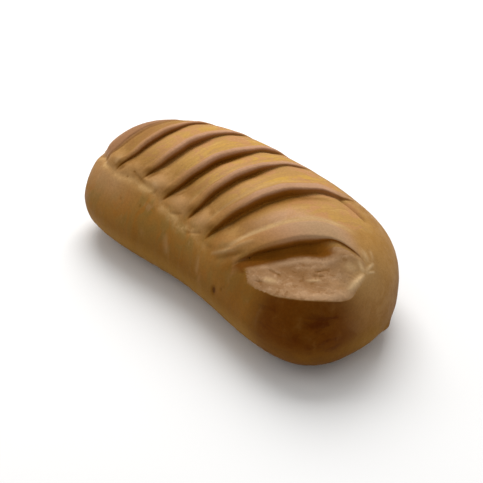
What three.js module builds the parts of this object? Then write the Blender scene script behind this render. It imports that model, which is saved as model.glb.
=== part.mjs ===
// Bloomer loaf, one baked piece in millimetres: long axis on X, slashed crown up, flat base on z = 0.
// The skin is a superellipse body bent like a banana. Seven slashes cross its crown, each a shingle:
// a rolled lip over an undercut wall, then a floor that climbs back to the next strip of skin.
import * as THREE from "three";

const LENGTH = 300;
const WIDTH = 153.3;
const HEIGHT = 98.5;
const BELLY_LEVEL = 33.7; // height of the widest part
const BELLY_DROP = 1.1; // how far the underside would reach below the base plane, as a share
const PLAN_POWER = 3.05; // squareness of the two ends seen from above
const RISE_POWER_NEAR = 3.67; // squareness of the ends seen from the side
const RISE_POWER_FAR = 3.68;
const CROWN_POWER = 1.94; // section above the belly
const BELLY_POWER = 2.56; // section below the belly
const WAIST = 0.07; // the middle is this share narrower
const WAIST_REACH = 70;
const BEND = -23.4; // the ends swing toward -Y by this much
const LEAN = 11.8; // the crown leans toward +Y by this much at full height
const SHOULDER = 0.05; // the +Y side is fuller by this share behind the last slash
const SHOULDER_AT = 106;
const SHOULDER_REACH = 32;

// The slashes, far to near. The lip of one runs over the crown at
// at + slant * s + bow * s * s degrees along, where x = LENGTH / 2 * sin(degrees) and s runs from -1 to 1.
// curl bends its visible end back, hook its hidden one on. It fades in at s = from over wake and out at
// s = to. depth and roll (the radius of the lip) are in mm, and fade is the share of both lost towards the
// hidden side. floor is the torn share of the way to the next lip. soft = 1 turns the undercut wall into
// an open slope.
const SLASHES = [
  {
    at: -51.6, slant: 2.6, curl: 2,
    depth: 2.8, roll: 3, soft: 1, floor: 0.8,
    from: -0.74, wake: 0.4, to: 0.6,
  },
  {
    at: -39.5, slant: 1, curl: 3,
    depth: 6.2, roll: 2, floor: 0.82, fade: 0.65,
    from: -0.79, wake: 0.45, to: 0.68,
  },
  {
    at: -25.2, slant: 2.3, curl: 1.2,
    depth: 8, roll: 2.1, floor: 0.83, fade: 0.65,
    from: -0.745, wake: 0.3, to: 0.74,
  },
  {
    at: -10.4, slant: 4.6, bow: -3,
    depth: 9, roll: 2.2, floor: 0.78,
    from: -0.825, wake: 0.26, to: 0.8,
  },
  {
    at: 1.4, slant: 6.4,
    depth: 8.3, roll: 1.8, floor: 0.72, fade: 0.8,
    from: -0.85, wake: 0.26, to: 0.74,
  },
  {
    at: 17.2, slant: 12.6, hook: 3.4,
    depth: 9.4, roll: 1.5, floor: 0.64,
    from: -0.88, wake: 0.26, to: 0.66,
  },
  {
    at: 49.8, slant: 32.3, hook: 8.6,
    depth: 13, roll: 2.8, floor: 1,
    from: -0.925, wake: 0.3, to: 0.23,
  },
];
const LAST = SLASHES.length - 1; // a lens on the near shoulder
const HOOK_START = 0.3;
const HOOK_SPAN = 0.2;
const LIP_SETTLE = 0.95; // degrees by which the other lips move on past the middle of the crown
const LENS_SPREAD = 96; // scale of the last slash's width in degrees
const LENS_POWERS = [0.49, 0.86];
const LENS_HOOK_START = -0.15;
const LENS_HOOK_SPAN = 0.38; // past its end the last lip runs straight
const LENS_HOOK_POWER = 1.6;
const LENS_WALL = 0.16; // least share of the last slash that its wall takes up

const NUB = { at: [72, 124], radius: 5, height: 2 }; // a blister on the lower edge of the near end

const TUCK = 0.75; // how far the wall runs back under the lip, as a share of the roll
const FLOOR_POWER = 1.7; // the floor climbs fast from the wall, then levels out
const STEP_DOWN = 0.4; // crease where a floor meets the skin
const STRIP_CROWN = 0.5; // doming of each skin strip
const LENS_FLAT = 3; // how far the last floor lies under the rounded shoulder it cuts
const KNUCKLE = 1.6; // swelling of the strip ends over the rim
const RIM_DEPTH = 0.6; // valley along the visible side, under the strip ends
const RIM_SWELL = 0.4; // raised edge below that valley
const RIM_FAR = 0.78;
const RIM_NEAR = 0.92;
// Shallow creases, each from one [degrees along, s] to another, width and depth in mm.
// The first runs on from the end of a ridge, two are folds in the visible side.
const CREASES = [
  { from: [25.5, 0.45], to: [42, 0.49], width: 2, depth: 2.6 },
  { from: [-9.5, -0.955], to: [-7.5, -0.995], width: 2.4, depth: 1.1 },
  { from: [6.5, -0.95], to: [7.5, -0.993], width: 2.2, depth: 0.9 },
  { from: [-76, -0.55], to: [-56, -0.74], width: 6, depth: 3.2 }, // hollow behind the far ridge
];

const FAR_CAP = [0.02, 0.06, 0.13, 0.23, 0.36, 0.52, 0.7, 0.87];
const PERIOD_FIELD = [0.08, 0.22, 0.4, 0.6, 0.8, 1]; // floor columns, share of the floor
const STRIP_FIELD = [0.22, 0.6]; // strip columns, share of the strip
const LENS_FIELD = [0.03, 0.1, 0.18, 0.28, 0.42, 0.6, 0.8, 0.93, 1]; // columns on the last floor
const NEAR_CAP = [0.05, 0.2, 0.38, 0.55, 0.7, 0.82, 0.92, 0.98];
const ROWS_TO_RIM = [0, 0.13, 0.26, 0.39, 0.51, 0.62, 0.72, 0.81, 0.88, 0.945, 1];
const ROWS_TO_BELLY = [0.14, 0.34, 0.55, 0.78, 1];
const ROWS_TO_BASE = [0.25, 0.48, 0.68, 0.86, 1];
const ROWS_ON_BASE = [0.33, 0.68];
const FLAT_LIMIT = 150; // degrees round at which the base rows start where the end curves off the table

const RAD = Math.PI / 180;
const PER_DEGREE = (LENGTH / 2) * RAD; // mm along the loaf in one degree at the middle
const clamp = (v) => Math.min(1, Math.max(0, v));
const ease = (v) => clamp(v) * clamp(v) * (3 - 2 * clamp(v));
const mix = (a, b, t) => a + (b - a) * t;
const bell = (v) => Math.exp(-v * v);
const power = (v, p) => Math.sign(v) * Math.abs(v) ** p;

/** Superellipse fall-off from 1 in the middle to 0 at the end. */
function fall(t, p) {
  return Math.max(0, 1 - Math.abs(t) ** p) ** (1 / p);
}

/** Point on the plain skin at a degrees along and b degrees round (0 is the crown, 90 is +Y). */
function skin(a, b) {
  const t = Math.sin(a * RAD);
  const half = (WIDTH / 2) * fall(t, PLAN_POWER) * (1 - WAIST * bell((t * LENGTH) / 2 / WAIST_REACH));
  const rise = fall(t, t > 0 ? RISE_POWER_NEAR : RISE_POWER_FAR);
  const c = Math.cos(b * RAD);
  const n = c >= 0 ? CROWN_POWER : BELLY_POWER;
  const reach = c >= 0 ? HEIGHT - BELLY_LEVEL : BELLY_LEVEL * BELLY_DROP;
  const z = Math.max(0, BELLY_LEVEL + reach * rise * power(c, 2 / n));
  const s = Math.sin(b * RAD);
  const full = 1 + SHOULDER * bell(((t * LENGTH) / 2 - SHOULDER_AT) / SHOULDER_REACH) * ease(s / 0.6);
  const y = half * full * power(s, 2 / n);
  const lean = (LEAN * Math.max(0, z - BELLY_LEVEL)) / HEIGHT;
  return new THREE.Vector3((t * LENGTH) / 2, y + BEND * t * t + lean, z);
}

/** Degrees round at which the section meets the base plane. */
function baseAngle(a) {
  const t = Math.sin(a * RAD);
  const drop = BELLY_DROP * fall(t, t > 0 ? RISE_POWER_NEAR : RISE_POWER_FAR);
  if (drop <= 1) return FLAT_LIMIT;
  return Math.min(FLAT_LIMIT, 180 - Math.acos((1 / drop) ** (BELLY_POWER / 2)) / RAD);
}

/** Outward normal and the tangent that runs toward the near end, square to the direction (da, db). */
function surfaceFrame(a, b, da, db) {
  const step = 0.01;
  const alongA = skin(a + step, b).sub(skin(a - step, b));
  const roundB = skin(a, b + step).sub(skin(a, b - step));
  const normal = new THREE.Vector3().crossVectors(roundB, alongA).normalize().negate();
  const line = skin(a + da * step, b + db * step).sub(skin(a - da * step, b - db * step)).normalize();
  const across = new THREE.Vector3().crossVectors(line, normal).normalize();
  if (across.dot(alongA) < 0) across.negate();
  return { normal, across };
}

/** Degrees along at which slash k has its lip, s across the crown. */
function lipLine(k, s) {
  const { at, slant, bow = 0, curl = 0, hook = 0 } = SLASHES[k];
  const back = curl * ease((-s - 0.5) / 0.3);
  if (k === LAST) {
    const turn = clamp((s - LENS_HOOK_START) / LENS_HOOK_SPAN) ** LENS_HOOK_POWER;
    return at + slant * Math.min(s, LENS_HOOK_START + LENS_HOOK_SPAN) - back + hook * turn;
  }
  const turn = ease((s - HOOK_START) / HOOK_SPAN);
  return at + slant * s + bow * s * s - back + hook * turn + LIP_SETTLE * ease((s + 0.2) / 0.4);
}

/** Degrees along at which the floor of slash k ends. */
function floorLine(k, s) {
  const lip = lipLine(k, s);
  if (k < LAST) return mix(lip, lipLine(k + 1, s), SLASHES[k].floor);
  const { from, to } = SLASHES[k];
  const u = clamp((s - from) / (to - from));
  return lip + Math.max(5, LENS_SPREAD * u ** LENS_POWERS[0] * (1 - u) ** LENS_POWERS[1]);
}

/** Degrees along of the mesh line that follows the near edge of the last slash. */
function guideLine(s) {
  return Math.max(floorLine(LAST, s), lipLine(LAST, s) + mix(20, 6, ease((s + 0.6) / 0.5)));
}

/** Share of the last slash that its wall takes up. */
function wallShare(s) {
  return LENS_WALL + 0.05 * ease((-s - 0.65) / 0.15) + 0.11 * ease((s + 0.55) / 0.3);
}

/** 1 along the body of slash k, 0 past its ends. */
function presence(k, s, b) {
  if (Math.abs(b) > 89) return 0;
  const { from, to, wake } = SLASHES[k];
  const share = clamp((s - from) / wake);
  const opening = k === LAST ? ease(share) : share * (2 - share);
  return opening * ease((to - s) / (k === LAST ? 0.3 : 0.34));
}

/** Share of its depth and roll that slash k keeps towards the hidden side. */
function taper(k, s) {
  const { fade = 0.55 } = SLASHES[k];
  return k === LAST ? 1 - 0.84 * ease((s + 0.36) / 0.3) : 1 - fade * ease((s + 0.2) / 0.55);
}

/** How far the floor of slash k lies under the plain skin, at the share u of its width. */
function floorDepth(k, s, u) {
  const depth = SLASHES[k].depth * taper(k, s);
  if (k < LAST) return depth * (1 - u) ** FLOOR_POWER + STEP_DOWN * u * u;
  const wall = wallShare(s);
  const foot = clamp((u - wall) / (1 - wall));
  return mix(1, 0.78, ease(u / wall)) * depth * (1 - foot) + LENS_FLAT * Math.sin(Math.PI * foot);
}

/** How far round, as s, the rim valley lies on the visible side. */
function rimLine(a) {
  const rise = 0.07 * ease((-a - 48) / 14) + 0.12 * ease((a - 12) / 12);
  return rise - mix(RIM_FAR, RIM_NEAR, ease((a + 38) / 58));
}

/** Height of the skin above the plain body: floors, domed strips, knuckles and rim. */
function relief(a, b) {
  if (Math.cos(b * RAD) <= 0) {
    return NUB.height * bell(skin(a, b).distanceTo(skin(...NUB.at)) / NUB.radius);
  }
  const s = Math.sin(b * RAD);
  let height = 0;
  let gap = Infinity;
  SLASHES.forEach((_, k) => {
    const lip = lipLine(k, s);
    const live = presence(k, s, b);
    const floor = floorLine(k, s);
    gap = Math.min(gap, Math.abs(a - lip));
    if (a >= lip && a <= floor) {
      height -= live * floorDepth(k, s, (a - lip) / (floor - lip));
    }
    const before = k > 0 ? floorLine(k - 1, s) : lip - 14;
    const within = (a - before) / (lip - before);
    if (within > 0 && within < 1) height += live * STRIP_CROWN * Math.sin(Math.PI * within);
  });
  const rim = rimLine(a);
  const zone = ease((a + 72) / 14) * ease((27 - a) / 6);
  height += KNUCKLE * zone * bell((s - rim - 0.085) / 0.065) * (1 - bell(gap / 1.6));
  height -= RIM_DEPTH * zone * bell((s - rim) / 0.024);
  height += RIM_SWELL * zone * bell((s - rim + 0.05) / 0.035);
  return height - creaseDepth(a, b);
}

/** Depth of the shallow creases at a point of the skin. */
function creaseDepth(a, b) {
  const here = skin(a, b);
  return CREASES.reduce((sum, { from, to, width, depth }) => {
    const [start, end] = [from, to].map(([along, s]) => skin(along, Math.asin(s) / RAD));
    const line = end.sub(start);
    const along = clamp(here.clone().sub(start).dot(line) / line.lengthSq());
    const away = here.distanceTo(start.addScaledVector(line, along));
    return sum + depth * Math.sin(Math.PI * mix(0.15, 1, 1 - along)) ** 0.5 * bell(away / width);
  }, 0);
}

/** A vertex on the skin, raised by the relief. */
function fieldPoint(a, b) {
  const { normal } = surfaceFrame(a, b, 1, 0);
  return skin(a, b).addScaledVector(normal, relief(a, b));
}

/** The rolled lip in section, from the strip over the edge to the wall foot: [across, height] in mm. */
function rollSection(k, s, back) {
  const { soft = 0 } = SLASHES[k];
  const roll = SLASHES[k].roll * taper(k, s);
  const depth = SLASHES[k].depth * taper(k, s);
  const tuck = mix(TUCK, -1, soft) * roll;
  const crest = mix(roll, 0.3 * depth, soft);
  return [
    [-Math.min(roll, back), 0.2],
    [-0.35 * Math.min(roll, back), -0.22 * crest],
    [0, -crest],
    [-0.45 * tuck, -mix(crest, depth, 0.5)],
    [-tuck, -depth],
  ];
}

/** Degrees before and after lip k that its rolled section may take up. */
function lipRoom(k, s) {
  const cut = SLASHES[k];
  const lip = lipLine(k, s);
  const wish = (1.2 * cut.roll) / PER_DEGREE;
  return {
    back: k > 0 ? Math.min(wish, 0.62 * (lip - floorLine(k - 1, s))) : wish,
    ahead: Math.min(wish, 0.3 * (floorLine(k, s) - lip)),
  };
}

/** A vertex of slash k's lip: its section where the slash is open, plain skin where it isn't. */
function rollPoint(k, index, b) {
  const s = Math.sin(b * RAD);
  const live = Math.cos(b * RAD) > 0 ? presence(k, s, b) : 0;
  const lip = lineAt((v) => lipLine(k, v), b);
  const back = lineAt((v) => lipRoom(k, v).back, b);
  const ahead = lineAt((v) => lipRoom(k, v).ahead, b);
  const spread = 0.4 * (index < 2 ? back : ahead) * (index - 2);
  const a = lip + (1 - live) * spread;
  if (live === 0) return fieldPoint(a, b);
  const squeeze = PER_DEGREE * Math.cos(lip * RAD) * (k === LAST ? 0.8 : 0.95);
  const section = rollSection(k, s, 0.8 * back * squeeze)[index];
  const step = 0.5;
  const slope = lineAt((v) => lipLine(k, v), b + step) - lineAt((v) => lipLine(k, v), b - step);
  const { normal, across } = surfaceFrame(a, b, slope, 2 * step);
  const rest = relief(lip - 0.3, b) * (1 - live);
  return skin(a, b)
    .addScaledVector(across, live * section[0])
    .addScaledVector(normal, live * section[1] + rest);
}

/** Follows a line over the crown, then fades its slant out under the belly. */
function lineAt(line, b) {
  if (Math.abs(b) <= 90) return line(Math.sin(b * RAD));
  return mix(line(Math.sign(b)), line(0), (Math.abs(b) - 90) / 90);
}

/** Columns from the far end to the near one, each a function of b that gives a vertex. */
function makeColumns() {
  const columns = [];
  const field = (line) => columns.push({ line, point: (b) => fieldPoint(lineAt(line, b), b) });
  const before = (k, s) => lipLine(k, s) - 1.3 * lipRoom(k, s).back;
  const after = (k, s) => lipLine(k, s) + 1.1 * lipRoom(k, s).ahead;
  const start = (s) => before(0, s);
  FAR_CAP.forEach((share) => field((s) => mix(-90, start(s), share)));
  SLASHES.forEach((_, k) => {
    rollSection(k, 0, 1).forEach((_, index) => {
      columns.push({ line: (s) => lipLine(k, s), point: (b) => rollPoint(k, index, b) });
    });
    if (k === LAST) return;
    PERIOD_FIELD.forEach((share) => {
      field((s) => mix(after(k, s), floorLine(k, s), share));
    });
    STRIP_FIELD.forEach((share) => {
      field((s) => mix(floorLine(k, s), before(k + 1, s), share));
    });
  });
  LENS_FIELD.forEach((share) => field((s) => mix(after(LAST, s), guideLine(s), share)));
  NEAR_CAP.forEach((share) => field((s) => mix(guideLine(s), 90, share)));
  return columns;
}

/** Degrees round of each row at a column; the rim row follows the valley. */
function makeRows(line) {
  let rim = 55;
  for (let i = 0; i < 12; i++) rim = -Math.asin(rimLine(lineAt(line, -rim))) / RAD;
  const rightRim = 56;
  const side = (sign, edge) => {
    const base = baseAngle(lineAt(line, sign * 150));
    return [
      ...ROWS_TO_RIM.map((v) => v * edge),
      ...ROWS_TO_BELLY.map((v) => mix(edge, 90, v)),
      ...ROWS_TO_BASE.map((v) => mix(90, base, v)),
      ...ROWS_ON_BASE.map((v) => mix(base, 180, v)),
    ].map((v) => sign * v);
  };
  return [...side(-1, rim).reverse(), ...side(1, rightRim).slice(1), 180];
}

/** Joins the columns into one closed skin with a point at each end. */
function makeLoaf() {
  const columns = makeColumns();
  const grid = columns.map((column) => makeRows(column.line).map((b) => column.point(b)));
  const count = grid[0].length;
  const positions = grid.flat().flatMap((p) => [p.x, p.y, Math.max(0, p.z)]);
  const faces = [];
  const id = (i, j) => i * count + (j % count);
  for (let i = 0; i + 1 < grid.length; i++) {
    for (let j = 0; j < count; j++) {
      const [p, q, r, t] = [id(i, j), id(i + 1, j), id(i + 1, j + 1), id(i, j + 1)];
      const cutOne = grid[i][j].distanceTo(grid[i + 1][(j + 1) % count]);
      const cutTwo = grid[i + 1][j].distanceTo(grid[i][(j + 1) % count]);
      faces.push(...(cutOne <= cutTwo ? [p, q, r, p, r, t] : [p, q, t, q, r, t]));
    }
  }
  [-90, 90].forEach((a, end) => {
    const tip = skin(a, 0);
    const pole = positions.length / 3;
    positions.push(tip.x, tip.y, tip.z);
    const ring = end === 0 ? 0 : grid.length - 1;
    for (let j = 0; j < count; j++) {
      faces.push(pole, ...(end === 0 ? [id(ring, j), id(ring, j + 1)] : [id(ring, j + 1), id(ring, j)]));
    }
  });
  const geometry = new THREE.BufferGeometry();
  geometry.setAttribute("position", new THREE.Float32BufferAttribute(positions, 3));
  geometry.setIndex(faces);
  geometry.computeBoundingBox();
  const box = geometry.boundingBox;
  geometry.translate(-(box.min.x + box.max.x) / 2, -(box.min.y + box.max.y) / 2, -box.min.z);
  geometry.computeVertexNormals();
  return geometry;
}

const crust = new THREE.MeshStandardMaterial({ color: 0xa9743f, roughness: 0.6 });
const loaf = new THREE.Mesh(makeLoaf(), crust);
loaf.name = "loaf";

const bloomer = new THREE.Group();
bloomer.add(loaf);
export default bloomer;
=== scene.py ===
"""Bloomer loaf: the baked crust, its slashes and the studio it stands in."""

import functools
import math

import bpy
import numpy as np
from bpy.props import (
    CollectionProperty,
    FloatProperty,
    FloatVectorProperty,
    IntProperty,
    PointerProperty,
)
from mathutils import Matrix, Vector

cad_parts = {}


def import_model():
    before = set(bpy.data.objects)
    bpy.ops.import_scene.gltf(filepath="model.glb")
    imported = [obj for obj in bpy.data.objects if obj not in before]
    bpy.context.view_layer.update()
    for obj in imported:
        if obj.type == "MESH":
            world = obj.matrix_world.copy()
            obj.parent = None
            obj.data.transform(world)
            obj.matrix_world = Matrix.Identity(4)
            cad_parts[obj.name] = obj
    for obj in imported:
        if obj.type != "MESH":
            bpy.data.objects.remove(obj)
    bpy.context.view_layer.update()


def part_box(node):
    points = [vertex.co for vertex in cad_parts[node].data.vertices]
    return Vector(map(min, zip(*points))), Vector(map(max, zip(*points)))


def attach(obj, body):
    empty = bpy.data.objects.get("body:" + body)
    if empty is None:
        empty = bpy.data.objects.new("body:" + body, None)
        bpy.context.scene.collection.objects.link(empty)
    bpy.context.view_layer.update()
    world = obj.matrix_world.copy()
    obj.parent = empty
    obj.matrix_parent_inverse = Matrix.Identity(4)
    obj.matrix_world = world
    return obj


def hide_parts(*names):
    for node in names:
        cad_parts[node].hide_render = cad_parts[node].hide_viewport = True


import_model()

bl_info = {
    "name": "Bloomer Loaf",
    "version": (1, 0, 0),
    "blender": (4, 5, 0),
    "location": "View3D > Sidebar > Bloomer",
    "description": "Builds a slashed bloomer loaf and the studio around it",
    "category": "Add Mesh",
}

LOAF_LOW, LOAF_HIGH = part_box("loaf")
LOAF_SIZE = LOAF_HIGH - LOAF_LOW

MM = 0.001

# The slashes, far end to near end. Angles are degrees along the loaf and lengths are millimetres. start
# and stop run from -1 to 1 across the crown. gold tints the torn floor, ash greys the next strip of
# skin with a painted sheen, and shade sets the painted shade of its wall and of the foot of its floor.
SLASHES = (
    dict(
        at=-51.6, slant=2.6, curl=2.0,
        depth=2.8, roll=3.0, soft=1.0, floor=0.80,
        start=-0.74, wake=0.4, stop=0.60,
        gold=0.2, ash=0.0, shade=0.0,
    ),
    dict(
        at=-39.5, slant=1.0, curl=3.0,
        depth=6.2, roll=2.0, floor=0.82, fade=0.65,
        start=-0.79, wake=0.45, stop=0.68,
        gold=0.7, ash=0.1, shade=0.75,
    ),
    dict(
        at=-25.2, slant=2.3, curl=1.2,
        depth=8.0, roll=2.1, floor=0.83, fade=0.65,
        start=-0.745, wake=0.3, stop=0.74,
        gold=0.8, ash=0.1, shade=0.75,
    ),
    dict(
        at=-10.4, slant=4.6, bow=-3.0,
        depth=9.0, roll=2.2, floor=0.78,
        start=-0.825, wake=0.26, stop=0.80,
        gold=1.0, ash=0.2, shade=1.0,
    ),
    dict(
        at=1.4, slant=6.4,
        depth=8.3, roll=1.8, floor=0.72, fade=0.8,
        start=-0.85, wake=0.26, stop=0.74,
        gold=1.0, ash=0.3, shade=0.9,
    ),
    dict(
        at=17.2, slant=12.6, hook=3.4,
        depth=9.4, roll=1.5, floor=0.64,
        start=-0.88, wake=0.26, stop=0.66,
        gold=0.45, ash=1.0, shade=1.0,
    ),
    dict(
        at=49.8, slant=32.3, hook=8.6,
        depth=13.0, roll=2.8, floor=1.0,
        start=-0.925, wake=0.3, stop=0.23,
        gold=0.0, ash=0.3, shade=1.0,
    ),
)
LAST = len(SLASHES) - 1
END_STRIP = 14.0  # degrees of skin that go with the first slash and with the last one
HOOK_START, HOOK_SPAN = 0.3, 0.2
LIP_SETTLE = 0.95  # degrees by which the other lips move on past the middle of the crown
LIP_WOBBLES = ((0.16, 9.0, 2.3), (0.1, 21.0, 1.1))  # degrees, waves across, shift from slash to slash

# The last slash is a lens on the near shoulder. Its places across the crown are s, from -1 to 1.
LENS_SPREAD = 96.0  # degrees
LENS_POWERS = (0.49, 0.86)  # how fast it opens and closes
LENS_HOOK_START, LENS_HOOK_SPAN = -0.15, 0.38
LENS_HOOK_POWER = 1.6
LENS_WALL = 0.16  # share of its floor
LENS_TIP = (68.6, 0.14)  # degrees along, s
LENS_TIP_SIZE = (15.0, 17.0)  # millimetres
LENS_TURN = -0.65  # radians by which its flakes lie askew

SHOULDER_AT, SHOULDER_REACH = 106.0, 32.0  # millimetres along
RIM_SWAYS = ((0.011, 0.21, 0.4), (0.006, 0.53, 1.0), (0.002, 1.37, 0.0))  # s, waves along, shift
FLAT_LIMIT = 150.0  # degrees round of the base's edge where the end curves off the table
RIM_EDGE = 56.0  # degrees round that stand for the rim on the hidden side
RIM_GUESS, RIM_ROUNDS = 55.0, 12  # degrees round, and rounds in which the rim of a column is found
GRAIN_ROUND, GRAIN_STEP = 1.25, 40.0  # millimetres of strand noise to a degree round and between slashes

# Shallow creases, each between two places (degrees along, s across), with a width and a depth in
# millimetres. A depth below 0 is a ridge. A tone above 0 is pale, below 0 dark with painted shade in the
# crease.
CREASES = (
    ((25.5, 0.45), (42.0, 0.49), 2.0, 2.6, -0.7),
    ((-9.5, -0.955), (-7.5, -0.995), 2.8, 1.1, 0.16),
    ((6.5, -0.95), (7.5, -0.993), 2.4, 0.9, 0.14),
    ((-76.0, -0.55), (-56.0, -0.74), 6.0, 3.2, 0.0),
    # pockets with painted shade, and pale knobs at the ridge ends
    ((-41.6, -0.772), (-39.6, -0.725), 1.5, 0.8, -0.4),
    ((-32.4, -0.735), (-26.2, -0.768), 1.5, 0.9, -0.45),
    ((-26.4, -0.735), (-24.8, -0.65), 1.8, 0.4, -0.65),
    ((-12.6, -0.755), (-10.8, -0.66), 1.8, 0.4, -0.5),
    ((-23.2, -0.735), (-20.8, -0.75), 2.4, -0.3, 0.3),
    ((-45.4, -0.73), (-44.9, -0.66), 2.6, -0.2, 0.25),
    ((-20.8, -0.812), (-19.8, -0.78), 1.3, 0.7, -0.3),
    ((-11.2, -0.862), (-6.6, -0.832), 1.2, 0.8, -0.4),
    ((-2.4, -0.912), (3.6, -0.862), 1.2, 0.8, -0.35),
    ((8.0, -0.905), (11.5, -0.88), 1.6, 0.35, -0.15),
    ((11.0, -0.915), (19.5, -0.815), 1.5, -0.7, 0.3),
    ((16.8, -0.857), (23.4, -0.69), 1.5, -0.6, 0.25),
    ((13.5, -0.922), (22.0, -0.80), 1.6, 0.6, -0.35),
    # star of tears at the tip of the last slash
    ((68.8, 0.13), (72.4, -0.22), 2.1, -0.8, 1.0),
    ((68.6, 0.14), (62.6, 0.095), 1.5, -0.4, 0.7),
    ((68.0, 0.16), (65.2, 0.34), 1.3, -0.3, 0.75),
    ((68.8, 0.15), (69.2, 0.36), 0.9, -0.2, 0.7),
    # flakes, cracks with painted shade, and pale patches of the last floor
    ((57.0, 0.20), (62.5, 0.235), 2.4, -0.5, 0.5),
    ((57.5, 0.33), (62.0, 0.35), 1.6, -0.3, 0.35),
    ((59.0, -0.11), (64.5, -0.01), 3.2, -0.2, 0.4),
    ((50.2, -0.50), (53.4, -0.36), 0.9, 1.0, -0.8),
    ((50.6, -0.55), (55.4, -0.45), 0.8, 0.8, -0.7),
    ((50.2, -0.63), (55.6, -0.52), 1.0, -0.5, 0.7),
    ((33.2, -0.775), (39.2, -0.745), 0.9, 0.8, -0.55),
    ((33.6, -0.87), (36.4, -0.85), 0.8, 0.7, -0.6),
    ((35.5, -0.835), (40.0, -0.80), 2.2, -0.5, 0.6),
    # brown shadow beside the hidden end of the slash before it
    ((20.8, 0.0), (26.4, 0.27), 2.6, 0.0, -0.6),
)
# Small dark pits, their dark partly painted shade in the hole: degrees along, degrees round, size in
# millimetres, strength.
MARKS = (
    (17.3, -85.5, (2.3, 3.2), 1.6),
    (20.9, -80.5, (1.0, 2.0), 0.7),
    (22.0, -77.5, (0.9, 1.5), 0.5),
    (-35.0, -51.4, (1.2, 1.2), 0.5),
    (-32.8, -46.6, (1.6, 1.1), 0.5),
    (-32.5, -66.5, (1.2, 1.6), 0.35),
    (-22.9, -64.6, (1.3, 1.6), 0.4),
    (-52.9, -45.2, (1.3, 2.4), 0.45),
    (29.4, -88.0, (1.6, 2.2), 0.3),
)
# The hollow under the widest ridge end gets painted shade, given like a mark.
UNDER_LOBE = (15.0, -72.0, (14.0, 9.0), 0.55)  # shaded hollow under the widest ridge end, like a mark
NUB = dict(along=72.0, round=124.0, radius=5.0, height=2.0)  # blister on the near end's lower edge

# Noise that both the relief and the colours use: scales along the axes, detail, roughness, distortion.
FOLD_NOISE = ((75.0, 75.0, 16.0), 2.0, 0.5, 0.6)
STRAND_NOISE = ((220.0, 26.0, 200.0), 3.0, 0.6, 0.6)
FLAKE_NOISE = ((55.0, 120.0, 90.0), 4.0, 0.58, 0.5)
# Inputs of the crust's relief: those that the loaf's sizes set, and those with a value of their own.
RELIEF_HEIGHTS = {
    "Lump Height": "lump",
    "Wrinkle Height": "wrinkle",
    "Strand Height": "strand",
    "Flake Height": "flake",
    "Fold Height": "fold",
    "Blister Height": "blister",
    "Pore Depth": "pore",
}
RELIEF_SPOTS = {
    "Blister Radius": 0.0022,
    "Blister Density": 1500.0,
    "Pore Radius": 0.0009,
    "Pore Density": 5000.0,
}
SEED = 7

TABLE_HALF = 3.0
CENTRE = Vector((0.0, 0.0034, 0.0443))
AIM_LEFT, AIM_DOWN = 0.0068, 0.01365  # metres from the centre to the middle of the picture

PLAIN_MASKS = (
    "torn", "strip", "depth", "gold", "ash", "lens", "wall", "brim",
    "foot", "chalk", "shallow", "corner", "edge", "valley", "pale", "dark",
)


def ease(v):
    v = np.clip(v, 0.0, 1.0)
    return v * v * (3.0 - 2.0 * v)


def rise(v, start, span):
    """0 up to the start, then smoothly up to 1 over the span."""
    return ease((v - start) / span)


def drop(v, end, span):
    """0 past the end, and smoothly up to 1 over the span before it."""
    return ease((end - v) / span)


def mix(a, b, t):
    return a + (b - a) * t


def bell(v):
    return np.exp(-np.square(v))


def signed_power(v, p):
    return np.sign(v) * np.abs(v) ** p


def fall(t, p):
    """Superellipse fall-off from 1 in the middle to 0 at the end."""
    return np.maximum(0.0, 1.0 - np.abs(t) ** p) ** (1.0 / p)


def raise_masks(masks, **layers):
    """Lifts masks to new values where these are higher."""
    for name, values in layers.items():
        masks[name] = np.maximum(masks[name], values)


def spot_at(shape, along, rows, spot):
    """Mask of a mark given as degrees along, degrees round, size and strength."""
    return spot[3] * shape.spot(along, rows, *spot[:3])


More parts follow.
